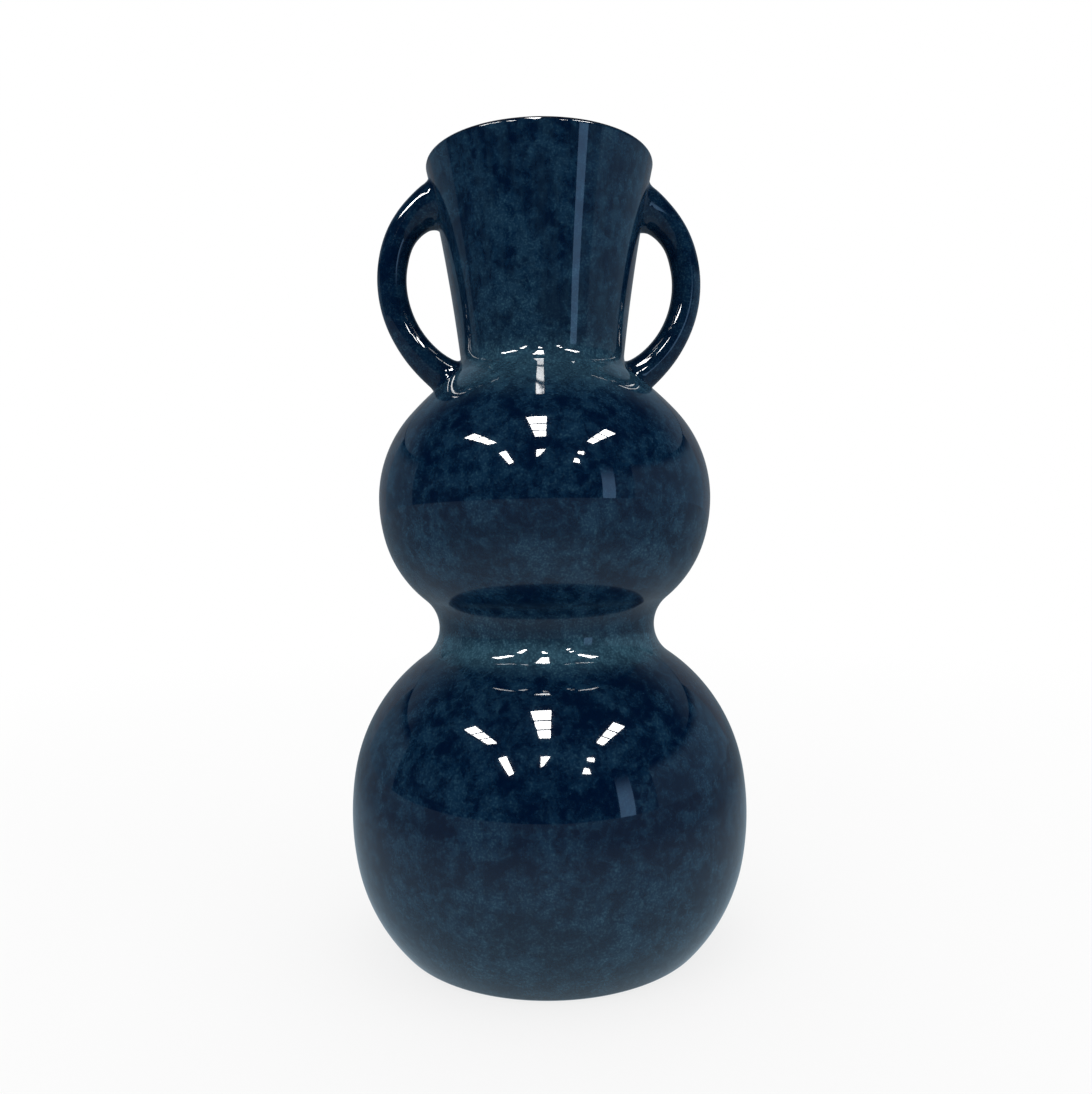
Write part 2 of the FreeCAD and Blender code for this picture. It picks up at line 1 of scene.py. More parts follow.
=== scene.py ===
"""A glazed double gourd vase: two stacked gourds, a flared neck and two pulled handles.

The turned outline is one chain of tangent arcs, from the foot ring to the lip. Each thrown piece is
a stretch of that chain, spun about the axis with its wall behind it, and the handles are swept and
luted over it. Lengths are metres and angles are degrees, except where a name says otherwise.
"""

import logging
import math
from dataclasses import dataclass, replace
from enum import Enum

import bpy
import numpy as np
from mathutils import Matrix, Vector


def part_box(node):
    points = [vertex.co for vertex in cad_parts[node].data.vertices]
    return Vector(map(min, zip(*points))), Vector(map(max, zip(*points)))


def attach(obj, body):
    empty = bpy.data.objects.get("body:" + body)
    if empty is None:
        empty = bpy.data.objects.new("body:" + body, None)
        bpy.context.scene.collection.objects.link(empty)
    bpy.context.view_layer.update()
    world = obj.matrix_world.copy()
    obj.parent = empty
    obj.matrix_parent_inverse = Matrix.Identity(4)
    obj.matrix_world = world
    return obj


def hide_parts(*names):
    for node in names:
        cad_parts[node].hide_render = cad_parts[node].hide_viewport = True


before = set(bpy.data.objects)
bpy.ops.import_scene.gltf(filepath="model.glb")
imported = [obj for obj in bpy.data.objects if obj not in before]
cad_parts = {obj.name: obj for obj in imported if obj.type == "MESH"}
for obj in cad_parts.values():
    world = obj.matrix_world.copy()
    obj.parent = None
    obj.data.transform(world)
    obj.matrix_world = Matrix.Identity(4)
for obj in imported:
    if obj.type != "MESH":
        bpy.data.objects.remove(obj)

LOG = logging.getLogger("vase")
FULL_TURN = 360.0
HALF_TURN = 180.0
QUARTER_TURN = 90.0
BODY = "root"

Triple = tuple[float, float, float]
Face = tuple[int, ...]


class Side(Enum):
    """The side of the vase that a handle stands on."""

    LEFT = -1
    RIGHT = 1


def spoke(angle: float) -> np.ndarray:
    """The unit vector at an angle, where zero points away from the axis and 90 points up."""
    turn = math.radians(angle)
    return np.array([math.cos(turn), math.sin(turn)])


def angle_of(vector: np.ndarray) -> float:
    """The angle of a vector in the half section."""
    return math.degrees(math.atan2(vector[1], vector[0]))


@dataclass(frozen=True)
class Arc:
    """A round stretch of a half section, walked from its foot to its head.

    A hollow curves inward round a centre that lies outside the clay.
    """

    centre: np.ndarray
    radius: float
    foot: float
    head: float
    hollow: bool = False

    def at(self, angle: float) -> np.ndarray:
        """The point of the arc at an angle."""
        return self.centre + spoke(angle) * self.radius

    def outward(self, angle: float) -> np.ndarray:
        """The direction out of the clay at an angle."""
        return spoke(angle) * (-1 if self.hollow else 1)

    def inset(self, depth: float) -> "Arc":
        """The arc that lies a depth further into the clay."""
        radius = self.radius + depth if self.hollow else self.radius - depth
        return Arc(self.centre, radius, self.foot, self.head, self.hollow)

    def angles(self, step: float) -> np.ndarray:
        """Angles along the arc, with the arc's length between them at most a step.

        Args:
            step: the longest stretch between two angles.

        Returns:
            The angles from foot to head.
        """
        length = math.radians(abs(self.head - self.foot)) * self.radius
        widest_turn = 5.0
        count = max(length / step, abs(self.head - self.foot) / widest_turn, 2)
        return np.linspace(self.foot, self.head, math.ceil(count) + 1)

    def nearest(self, points: np.ndarray) -> tuple[np.ndarray, np.ndarray]:
        """The nearest points of the arc, and the directions out of the clay there.

        Args:
            points: points of the half section, one a row.

        Returns:
            The nearest points and the outward directions, one a row.
        """
        middle = (self.foot + self.head) / 2
        reach = abs(self.head - self.foot) / 2
        gaps = points - self.centre
        angles = np.degrees(np.arctan2(gaps[:, 1], gaps[:, 0]))
        off = (angles - middle + HALF_TURN) % FULL_TURN - HALF_TURN
        turns = np.radians(middle + np.clip(off, -reach, reach))
        spokes = np.stack([np.cos(turns), np.sin(turns)], axis=1)
        return self.centre + spokes * self.radius, spokes * (-1 if self.hollow else 1)


def easing(start: np.ndarray, normal: np.ndarray, end: Arc) -> tuple[np.ndarray, float, float]:
    """The arc that leaves a point along its tangent and runs smoothly into an end arc.

    Args:
        start: where the arc begins.
        normal: the direction out of the arc's centre at the start.
        end: the arc that it runs into.

    Returns:
        The arc's centre and radius, and the angle at which the two touch.
    """
    gap = start - end.centre
    reach = -end.radius if end.hollow else end.radius
    radius = (gap @ gap - reach * reach) / (2 * (gap @ normal - reach))
    centre = start - normal * radius
    return centre, radius, angle_of(end.centre - centre)


@dataclass(frozen=True)
class Flank:
    """One side of a gourd's widest line, above it or below it.

    The plain arc from the widest line into the end arc is reshaped: it starts with a share of that
    radius, keeps it for a share of the plain arc's turn, and is eased into the end arc after that.
    """

    radius_share: float
    turn_share: float

    def arcs(self, widest: np.ndarray, end: Arc, upward: bool) -> list[Arc]:
        """The flank's own arc and its easing arc, in the order they are walked.

        Args:
            widest: the gourd's widest point in the half section.
            end: the heel or the hollow that the flank runs into.
            upward: whether the flank is above the widest line.

        Returns:
            Two arcs, ordered upward.
        """
        inward = widest[0] - end.centre[0]
        rise = abs(end.centre[1] - widest[1])
        reach = inward + end.radius if end.hollow else inward - end.radius
        plain_radius = (inward**2 + rise**2 - end.radius**2) / (2 * reach)
        plain_turn = math.degrees(math.atan(rise / (plain_radius - inward)))
        radius = plain_radius * self.radius_share
        turn = plain_turn * self.turn_share * (1 if upward else -1)
        centre = widest - np.array([radius, 0.0])
        start = centre + spoke(turn) * radius
        eased_centre, eased_radius, touch = easing(start, spoke(turn), end)
        if upward:
            return [Arc(centre, radius, 0.0, turn), Arc(eased_centre, eased_radius, turn, touch)]
        return [Arc(eased_centre, eased_radius, touch, turn), Arc(centre, radius, turn, 0.0)]


def turned_radius(node: str) -> float:
    """How far a thrown node reaches from the axis, by the nearest side of its box."""
    low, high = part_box(node)
    return min(-low[0], high[0], -low[1], high[1])


@dataclass(frozen=True)
class Section:
    """The vase's half section, from the driving sizes of its silhouette."""

    lower_belly_radius: float
    upper_belly_radius: float
    rim_radius: float
    waist_height: float
    neck_height: float
    rim_height: float
    foot_radius: float = 0.0744
    heel_radius: float = 0.0076
    lower_belly_height: float = 0.0671
    waist_radius: float = 0.0563
    waist_hollow: float = 0.0187
    upper_belly_rise: float = 0.0661
    neck_radius: float = 0.0429
    neck_hollow: float = 0.012
    neck_slope_share: float = 0.719
    lip_radius: float = 0.0022
    lower_below: Flank = Flank(1.2382, 0.2759)
    lower_above: Flank = Flank(1.3191, 0.174)
    upper_below: Flank = Flank(1.1273, 0.3254)
    upper_above: Flank = Flank(0.905, 0.69)

    @classmethod
    def from_frame(cls) -> "Section":
        """Reads the driving sizes from the boxes of the frame's nodes.

        Returns:
            The section whose widest lines and joints are where the frame has them.
        """
        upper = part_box("upper_gourd")
        return cls(
            lower_belly_radius=turned_radius("lower_gourd"),
            upper_belly_radius=turned_radius("upper_gourd"),
            rim_radius=turned_radius("flared_neck"),
            waist_height=upper[0][2],
            neck_height=upper[1][2],
            rim_height=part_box("flared_neck")[1][2],
        )

    def slope(self) -> float:
        """How far the neck's wall leans out at its foot."""
        rise = self.rim_height - self.neck_height
        return self.neck_slope_share * math.degrees(math.atan((self.rim_radius - self.neck_radius) / rise))

    def heel(self) -> Arc:
        """The rounding between the foot ring and the lower gourd, with its head still open."""
        centre = np.array([self.foot_radius, self.heel_radius])
        return Arc(centre, self.heel_radius, -QUARTER_TURN, 0.0)

    def waist(self) -> Arc:
        """The hollow between the gourds, with its ends still open."""
        centre = np.array([self.waist_radius + self.waist_hollow, self.waist_height])
        return Arc(centre, self.waist_hollow, HALF_TURN, HALF_TURN, True)

    def crease(self) -> Arc:
        """The small hollow at the neck's foot, with its foot still open."""
        slope = self.slope()
        centre = np.array([self.neck_radius, self.neck_height]) + spoke(-slope) * self.neck_hollow
        return Arc(centre, self.neck_hollow, HALF_TURN, HALF_TURN - slope, True)

    def lower_arcs(self) -> list[Arc]:
        """The lower gourd's outer face.

        Returns:
            Its arcs, from the foot ring to the middle of the waist.
        """
        widest = np.array([self.lower_belly_radius, self.lower_belly_height])
        heel, waist = self.heel(), self.waist()
        below = self.lower_below.arcs(widest, heel, False)
        above = self.lower_above.arcs(widest, waist, True)
        closed_heel = Arc(heel.centre, heel.radius, heel.foot, below[0].foot)
        closed_waist = Arc(waist.centre, waist.radius, above[1].head + HALF_TURN, HALF_TURN, True)
        return [closed_heel, *below, *above, closed_waist]

    def upper_arcs(self) -> list[Arc]:
        """The upper gourd's outer face.

        Returns:
            Its arcs, from the middle of the waist to the neck's foot.
        """
        widest = np.array([self.upper_belly_radius, self.waist_height + self.upper_belly_rise])
        waist, crease = self.waist(), self.crease()
        below = self.upper_below.arcs(widest, waist, False)
        above = self.upper_above.arcs(widest, crease, True)
        closed_waist = Arc(waist.centre, waist.radius, HALF_TURN, below[0].foot + HALF_TURN, True)
        closed_crease = Arc(crease.centre, crease.radius, above[1].head + HALF_TURN, crease.head, True)
        return [closed_waist, *below, *above, closed_crease]

    def flare(self, depth: float) -> tuple[Arc, Arc]:
        """One face of the neck's wall, and the lip that it runs into.

        Args:
            depth: how far the face lies into the clay, zero for the outer face.

        Returns:
            The face from the neck's foot to the lip, and the lip's arc from that face to its top.
        """
        slope = self.slope()
        foot = np.array([self.neck_radius, self.neck_height]) - spoke(-slope) * depth
        centre = np.array([self.rim_radius, self.rim_height]) - self.lip_radius
        lip = Arc(centre, self.lip_radius, 0.0, QUARTER_TURN, depth == 0)
        middle, radius, touch = easing(foot, -spoke(-slope), lip)
        face = Arc(middle, radius, HALF_TURN - slope, touch % FULL_TURN, True)
        start = touch % FULL_TURN - HALF_TURN if depth == 0 else touch % FULL_TURN
        return face, Arc(centre, self.lip_radius, start, QUARTER_TURN)

    def outer_arcs(self) -> list[Arc]:
        """The whole outer face, from the foot ring to the lip."""
        return [*self.lower_arcs(), *self.upper_arcs(), *self.flare(0.0)]

    def clearance(self, points: np.ndarray) -> tuple[np.ndarray, np.ndarray, np.ndarray]:
        """How far points stand off the outer face.

        Args:
            points: points of the half section, one a row.

        Returns:
            The distances, negative inside, with the nearest points and the outward directions.
        """
        best = np.full(len(points), np.inf)
        gaps = np.zeros(len(points))
        feet = np.zeros_like(points)
        normals = np.zeros_like(points)
        for arc in self.outer_arcs():
            near, outward = arc.nearest(points)
            offsets = points - near
            distances = np.linalg.norm(offsets, axis=1)
            closer = distances < best
            best[closer] = distances[closer]
            signs = np.where((offsets * outward).sum(axis=1) < 0, -1.0, 1.0)
            gaps[closer] = (signs * distances)[closer]
            feet[closer] = near[closer]
            normals[closer] = outward[closer]
        return gaps, feet, normals


@dataclass
class Turning:
    """A closed half section under construction, as stretches with their own normals."""

    points: list[np.ndarray]
    normals: list[tuple[np.ndarray, np.ndarray]]

    @classmethod
    def begin(cls, start: np.ndarray) -> "Turning":
        """A section with only its first point."""
        return cls([np.asarray(start, dtype=float)], [])

    def line(self, end: tuple[float, float]) -> None:
        """Adds a straight stretch, whose outside is on the right of its direction.

        Args:
            end: where the stretch ends.
        """
        end_point = np.asarray(end, dtype=float)
        along = end_point - self.points[-1]
        normal = np.array([along[1], -along[0]]) / np.linalg.norm(along)
        self.points.append(end_point)
        self.normals.append((normal, normal))

    def arc(self, arc: Arc, step: float, inside: bool = False) -> None:
        """Adds an arc, which begins where the section has come to.

        Args:
            arc: the arc, whose foot comes first.
            step: the longest stretch between two of its points.
            inside: whether it is walked from head to foot, as the inner face of a wall.
        """
        angles = arc.angles(step)
        sign = -1 if inside else 1
        if inside:
            angles = angles[::-1]
        for before, after in zip(angles[:-1], angles[1:]):
            self.points.append(arc.at(after))
            self.normals.append((arc.outward(before) * sign, arc.outward(after) * sign))


@dataclass(frozen=True)
class Wheel:
    """How finely the thrown pieces are spun."""

    spokes: int = 192
    outer_step: float = 0.0014
    inner_step: float = 0.004

    def spin(self, name: str, turning: Turning) -> bpy.types.Object:
        """Spins a half section about the axis, with exact normals at every corner of every face.

        Args:
            name: the new object's name.
            turning: the section, whose ends lie on the axis or meet each other.

        Returns:
            The new object, at the origin.
        """
        touching = 1e-7
        angles = np.arange(self.spokes) * 2 * math.pi / self.spokes
        ways = np.stack([np.cos(angles), np.sin(angles)], axis=1)
        rings: list[list[int]] = []
        corners: list[Triple] = []
        closes = np.linalg.norm(turning.points[0] - turning.points[-1]) < touching
        stations = turning.points[:-1] if closes else turning.points
        for radius, height in stations:
            first = len(corners)
            if radius < touching:
                corners.append((0.0, 0.0, height))
                rings.append([first] * self.spokes)
                continue
            corners.extend((x * radius, y * radius, height) for x, y in ways)
            rings.append(list(range(first, first + self.spokes)))
        if closes:
            rings.append(rings[0])
        faces: list[Face] = []
        normals: list[Triple] = []
        for index, (start, end) in enumerate(turning.normals):
            low, high = rings[index], rings[index + 1]
            for left in range(self.spokes):
                right = (left + 1) % self.spokes
                quad = [
                    (low[left], start, ways[left]),
                    (low[right], start, ways[right]),
                    (high[right], end, ways[right]),
                    (high[left], end, ways[left]),
                ]
                if low[left] == low[right]:
                    quad.pop(1)
                elif high[left] == high[right]:
                    quad.pop(2)
                faces.append(tuple(corner for corner, _, _ in quad))
                normals.extend((way[0] * n[0], way[1] * n[0], n[1]) for _, n, way in quad)
        return make_mesh(name, corners, faces, normals)


def make_mesh(
    name: str, corners: list[Triple], faces: list[Face], normals: list[Triple] | None = None
) -> bpy.types.Object:
    """Makes a smooth mesh object at the origin.

    Args:
        name: the new object's name.
        corners: the vertices.
        faces: the vertices of each face, counter-clockwise from outside.
        normals: one for each corner of each face, where they are known exactly.

    Returns:
        The new object, linked to the scene.
    """
    mesh = bpy.data.meshes.new(name)
    mesh.from_pydata(corners, [], faces)
    mesh.shade_smooth()
    if normals is not None:
        mesh.normals_split_custom_set(normals)
    thing = bpy.data.objects.new(name, mesh)
    bpy.context.scene.collection.objects.link(thing)
    return thing


def stand_for(piece: bpy.types.Object, node: str) -> None:
    """Shows a piece in place of the frame's node of the same form.

    Args:
        piece: the finished piece.
        node: the node that it stands for.
    """
    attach(piece, BODY)
    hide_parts(node)
    low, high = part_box(node)
    LOG.info("%s stands for %s, z %.4f to %.4f", piece.name, node, low[2], high[2])


@dataclass(frozen=True)
class ThrownWalls:
    """The three thrown sections of the pot, which meet flush at the waist and at the neck's foot."""

    section: Section
    wheel: Wheel = Wheel()
    wall: float = 0.006
    base_thickness: float = 0.009
    floor_radius: float = 0.018
    foot_ring_width: float = 0.01
    foot_recess: float = 0.003
    ring_rounding: float = 0.0012

    def add_outside(self, turning: Turning, arcs: list[Arc]) -> None:
        """Walks up the outer face."""
        for arc in arcs:
            turning.arc(arc, self.wheel.outer_step)

    def add_inside(self, turning: Turning, arcs: list[Arc]) -> None:
        """Walks down the inner face, behind the same arcs."""
        for arc in reversed(arcs):
            turning.arc(arc.inset(self.wall), self.wheel.inner_step, inside=True)

    def lower_gourd(self) -> bpy.types.Object:
        """The foot, the wide gourd and the lower half of the waist.

        Returns:
            The thrown piece.
        """
        size = self.section
        arcs = size.lower_arcs()
        turning = Turning.begin((0.0, self.foot_recess))
        ring_inside = size.foot_radius - self.foot_ring_width
        inner_edge = np.array([ring_inside + self.ring_rounding, self.ring_rounding])
        rounded_edge = Arc(inner_edge, self.ring_rounding, HALF_TURN, HALF_TURN + QUARTER_TURN)
        turning.line((ring_inside, self.foot_recess))
        turning.line((ring_inside, self.ring_rounding))
        turning.arc(rounded_edge, self.wheel.outer_step)
        turning.line((size.foot_radius, 0.0))
        self.add_outside(turning, arcs)
        turning.line((size.waist_radius - self.wall, size.waist_height))
        rounding = self.floor_rounding(arcs[1].inset(self.wall))
        self.add_inside(turning, [replace(arcs[1], foot=rounding.head), *arcs[2:]])
        turning.arc(rounding, self.wheel.inner_step, inside=True)
        turning.line((0.0, self.base_thickness))
        return self.wheel.spin("lower_gourd_glazed", turning)

    def floor_rounding(self, side: Arc) -> Arc:
        """The rounding between the floor and the wall inside, tangent to both.

        Args:
            side: the lowest arc of the inner face of the wall.

        Returns:
            The rounding, from the floor to the angle at which it touches the wall.
        """
        height = self.base_thickness + self.floor_radius
        drop = height - side.centre[1]
        across = side.centre[0] + math.sqrt((side.radius - self.floor_radius) ** 2 - drop**2)
        centre = np.array([across, height])
        return Arc(centre, self.floor_radius, -QUARTER_TURN, angle_of(centre - side.centre))

    def upper_gourd(self) -> bpy.types.Object:
        """The upper half of the waist, the smaller gourd and the crease below the neck.

        Returns:
            The thrown piece.
        """
        size = self.section
        arcs = size.upper_arcs()
        start = np.array([size.waist_radius, size.waist_height])
        turning = Turning.begin(start)
        self.add_outside(turning, arcs)
        turning.line(tuple(arcs[-1].inset(self.wall).at(arcs[-1].head)))
        self.add_inside(turning, arcs)
        turning.line(tuple(start))
        return self.wheel.spin("upper_gourd_glazed", turning)

    def flared_neck(self) -> bpy.types.Object:
        """The trumpet neck and its rolled lip.

        Returns:
            The thrown piece.
        """
        size = self.section
        outer, outer_lip = size.flare(0.0)
        inner, inner_lip = size.flare(self.wall)
        lip = Arc(outer_lip.centre, outer_lip.radius, outer_lip.foot, inner_lip.foot)
        start = outer.at(outer.foot)
        turning = Turning.begin(start)
        turning.arc(outer, self.wheel.outer_step)
        turning.arc(lip, self.wheel.outer_step / 4)
        turning.arc(inner, self.wheel.outer_step, inside=True)
        turning.line(tuple(start))
        return self.wheel.spin("flared_neck_glazed", turning)


@dataclass(frozen=True)
class HandleStation:
    """Where a handle has come to: its angle round the loop, and its shares of reach and thickness."""

    angle: float
    reach: float
    thickness: float


@dataclass(frozen=True)
class PulledHandle:
    """A handle of round section, pulled from one rope of clay and luted on at both ends."""

    section: Section
    side: Side
    inset: float = 0.0204
    reach: float = 0.055
    thickness: float = 0.0152
    height_share: float = 0.404
    rise_share: float = 0.5556
    fillet: float = 0.0045
    skirt: float = 0.0022
    bedding: float = 0.00012
    end_depth: float = 0.0025
    fillet_rings: int = 10
    rings: int = 150
    round_points: int = 64
    stations: tuple[HandleStation, ...] = (
        HandleStation(-86, 1.07, 1.75),
        HandleStation(-70, 1.06, 1.44),
        HandleStation(-56, 1.04, 1.19),
        HandleStation(-38, 1.02, 1.05),
        HandleStation(-15, 1.005, 1.0),
        HandleStation(8, 0.995, 1.0),
        HandleStation(26, 0.985, 1.05),
        HandleStation(38, 0.955, 1.22),
        HandleStation(50, 0.905, 1.56),
        HandleStation(68, 0.85, 1.5),
    )

    def shares(self, angles: np.ndarray) -> tuple[np.ndarray, np.ndarray]:
        """The reach and thickness shares at any angles, smooth through the stations.

        Args:
            angles: angles round the loop.

        Returns:
            The reach shares and the thickness shares.
        """
        knots = np.array([station.angle for station in self.stations], dtype=float)
        values = np.array([(station.reach, station.thickness) for station in self.stations])
        slopes = np.gradient(values, knots, axis=0)
        spans = np.clip(np.searchsorted(knots, angles) - 1, 0, len(knots) - 2)
        width = (knots[spans + 1] - knots[spans])[:, None]
        along = ((angles - knots[spans]) / width[:, 0])[:, None]
        blended = (
            (2 * along**3 - 3 * along**2 + 1) * values[spans]
            + (along**3 - 2 * along**2 + along) * width * slopes[spans]
            + (3 * along**2 - 2 * along**3) * values[spans + 1]
            + (along**3 - along**2) * width * slopes[spans + 1]
        )
        return blended[:, 0], blended[:, 1]

    def centres(self, angles: np.ndarray) -> np.ndarray:
        """The middle of the rope, in the plane of the handle.

        Args:
            angles: angles round the loop.

        Returns:
            The points, one a row.
        """
        size = self.section
        length = size.rim_height - size.neck_height
        reach, _ = self.shares(angles)
        turns = np.radians(angles)
        across = size.neck_radius - self.inset + self.reach * reach * np.cos(turns)
        height = size.neck_height + length * (self.height_share + self.rise_share * reach * np.sin(turns))
        return np.stack([across, height], axis=1)

    def surface(self, angles: np.ndarray, around: float) -> np.ndarray:
        """The points of one lengthwise line on the rope's surface.

        Args:
            angles: angles round the loop.
            around: the line's angle round the rope, where zero is the outside of the loop.

        Returns:
            The points, one a row, for the handle on the right.
        """
        nudge = 0.01
        centres = self.centres(angles)
        along = self.centres(angles + nudge) - self.centres(angles - nudge)
        along /= np.linalg.norm(along, axis=1)[:, None]
        outward = np.stack([along[:, 1], -along[:, 0]], axis=1)
        _, thickness = self.shares(angles)
        radius = (self.thickness / 2 * thickness)[:, None]
        shift = outward * radius * math.cos(math.radians(around))
        across = radius[:, 0] * math.sin(math.radians(around))
        return np.stack([centres[:, 0] + shift[:, 0], across, centres[:, 1] + shift[:, 1]], axis=1)

    def off_pot(self, points: np.ndarray) -> tuple[np.ndarray, np.ndarray, np.ndarray]:
        """How far points in space stand off the pot.

        Args:
            points: points in space, one a row.

        Returns:
            The distances, the nearest points on the pot and the directions out of it.
        """
        radii = np.hypot(points[:, 0], points[:, 1])
        ways = points[:, :2] / radii[:, None]
        gaps, feet, normals = self.section.clearance(np.stack([radii, points[:, 2]], axis=1))
        near = np.column_stack([ways * feet[:, :1], feet[:, 1]])
        outward = np.column_stack([ways * normals[:, :1], normals[:, 1]])
        return gaps, near, outward

    def root(self, around: float, angles: np.ndarray) -> tuple[float, np.ndarray]:
        """How one lengthwise line runs out onto the pot at one end.

        Args:
            around: the line's angle round the rope.
            angles: fine angles from the middle of the loop to the end that is luted on.

        Returns:
            The angle at which the line leaves the rope, and the points of its fillet from there.
        """
        line = self.surface(angles, around)
        gaps, _, _ = self.off_pot(line)
        inside = np.nonzero(gaps <= 0)[0]
        last = int(inside[0]) if len(inside) else len(line) - 1
        lengths = np.concatenate([[0.0], np.cumsum(np.linalg.norm(np.diff(line, axis=0), axis=1))])
        crossing = min(gaps[last - 1] / (gaps[last - 1] - gaps[last]), 1.0)
        met = lengths[last - 1] + crossing * (lengths[last] - lengths[last - 1])
        leave, meet = np.interp([met - self.fillet, met], lengths, angles)
        start, contact = self.surface(np.array([leave, meet]), around)
        middle = self.centres(np.array([meet]))[0]
        _, _, outward = self.off_pot(contact[None, :])
        away = contact - np.array([middle[0], 0.0, middle[1]])
        away -= outward[0] * (away @ outward[0])
        away /= np.linalg.norm(away)
        _, landing, normal = self.off_pot((contact + away * self.skirt)[None, :])
        end = landing[0] - normal[0] * self.bedding
        shares = np.linspace(0, 1, self.fillet_rings + 1)[1:, None]
        bend = (1 - shares) ** 2 * start + 2 * shares * (1 - shares) * contact + shares**2 * end
        return float(leave), bend

    def make(self) -> bpy.types.Object:
        """Sweeps the rope and lutes both its ends onto the pot.

        Returns:
            The handle, closed at its hidden ends.
        """
        fine = 1500
        low_end, high_end = self.stations[0].angle, self.stations[-1].angle
        downward = np.linspace(0.0, low_end, fine)
        upward = np.linspace(0.0, high_end, fine)
        lines = []
        for index in range(self.round_points):
            around = index * FULL_TURN / self.round_points
            low_angle, low_bend = self.root(around, downward)
            high_angle, high_bend = self.root(around, upward)
            rope = self.surface(np.linspace(low_angle, high_angle, self.rings), around)
            lines.append(np.concatenate([low_bend[::-1], rope, high_bend]))
        grid = np.array(lines)
        grid[:, :, 0] *= self.side.value
        count = grid.shape[1]
        faces = []
        for index in range(self.round_points):
            here, beside = index * count, (index + 1) % self.round_points * count
            for ring in range(count - 1):
                quad = (here + ring, here + ring + 1, beside + ring + 1, beside + ring)
                faces.append(quad if self.side is Side.LEFT else quad[::-1])
        corners = [tuple(corner) for corner in grid.reshape(-1, 3)]
        for ring, forward in ((0, Side.LEFT), (count - 1, Side.RIGHT)):
            first = len(corners)
            hub = first + self.round_points
            corners.extend(tuple(corner) for corner in grid[:, ring])
            corners.append(self.sunk_middle(grid[:, ring]))
            for index in range(self.round_points):
                edge = (first + index, first + (index + 1) % self.round_points)
                faces.append((*(edge if self.side is forward else edge[::-1]), hub))
        return make_mesh(f"handle_{self.side.name.lower()}_glazed", corners, faces)

    def sunk_middle(self, ring: np.ndarray) -> Triple:
        """The middle of one hidden end of the rope, sunk into the pot's wall behind its last ring."""
        _, near, outward = self.off_pot(ring.mean(axis=0)[None, :])
        return tuple(near[0] - outward[0] * self.end_depth)


Socket = bpy.types.NodeSocket
Colour = tuple[float, float, float, float]


class Graph:
    """A node tree that is filled in by short calls."""

    def __init__(self, tree: bpy.types.NodeTree) -> None:
        """Takes a tree and clears it."""
        self.tree = tree
        tree.nodes.clear()

    def add(self, kind: str, values: dict | None = None, **settings: object) -> bpy.types.Node:
        """Adds a node.

        Args:
            kind: the node's type.
            values: what its input sockets hold, or the sockets that feed them.
            **settings: the node's own settings.

        Returns:
            The new node.
        """
        node = self.tree.nodes.new(kind)
        for name, value in settings.items():
            setattr(node, name, value)
        for name, value in (values or {}).items():
            socket = node.inputs[name]
            if isinstance(value, Socket):
                self.tree.links.new(value, socket)
            else:
                socket.default_value = value
        return node

    def math(self, operation: str, first: object, second: object = 0.0) -> Socket:
        """The result of a sum of two sockets or numbers."""
        return self.add("ShaderNodeMath", {0: first, 1: second}, operation=operation).outputs[0]

    def scaled(self, value: object, factor: object, added: object = 0.0, clamp: bool = False) -> Socket:
        """A value times a factor, with something added, and held from zero to one if it is clamped."""
        values = {0: value, 1: factor, 2: added}
        return self.add("ShaderNodeMath", values, operation="MULTIPLY_ADD", use_clamp=clamp).outputs[0]

    def between(
        self, value: object, low: object, high: object, start: float = 0.0, end: float = 1.0
    ) -> Socket:
        """A value carried smoothly from one range to another, and held at its ends."""
        values = {"Value": value, "From Min": low, "From Max": high, "To Min": start, "To Max": end}
        return self.add("ShaderNodeMapRange", values, interpolation_type="SMOOTHSTEP").outputs[0]

    def mix(self, share: object, first: object, second: object) -> Socket:
        """A colour that goes from the first to the second."""
        return self.add("ShaderNodeMix", {0: share, 6: first, 7: second}, data_type="RGBA").outputs[2]

    def noise(
        self, place: Socket, scale: object, detail: float, roughness: float = 0.5, distortion: float = 0.0
    ) -> Socket:
        """The strength of a cloudy noise at a place, whose finer layers are as strong as the roughness."""
        values = {"Vector": place, "Scale": scale, "Detail": detail}
        finer = {"Roughness": roughness, "Distortion": distortion}
        return self.add("ShaderNodeTexNoise", values | finer).outputs["Fac"]

    def group(self, tree: bpy.types.NodeTree, values: dict[str, object]) -> Socket:
        """The result of a node group, placed with its own values."""
        return self.add("ShaderNodeGroup", values, node_tree=tree).outputs[0]

    def object_place(self) -> Socket:
        """Where a point lies on its object."""
        return self.add("ShaderNodeTexCoord").outputs["Object"]

    def axis(self, place: Socket, name: str) -> Socket:
        """One coordinate of a place."""
        return self.add("ShaderNodeSeparateXYZ", {0: place}).outputs[name]

    def glow(self, colour: Triple, strength: object) -> None:
        """Makes the surface glow in a colour."""
        light = self.add("ShaderNodeEmission", {"Color": (*colour, 1.0), "Strength": strength})
        self.add("ShaderNodeOutputMaterial", {"Surface": light.outputs[0]})


def new_material(name: str) -> tuple[bpy.types.Material, Graph]:
    """Starts a material.

    Args:
        name: the material's name.

    Returns:
        The material, and the graph of its nodes.
    """
    material = bpy.data.materials.new(name)
    material.use_nodes = True
    return material, Graph(material.node_tree)


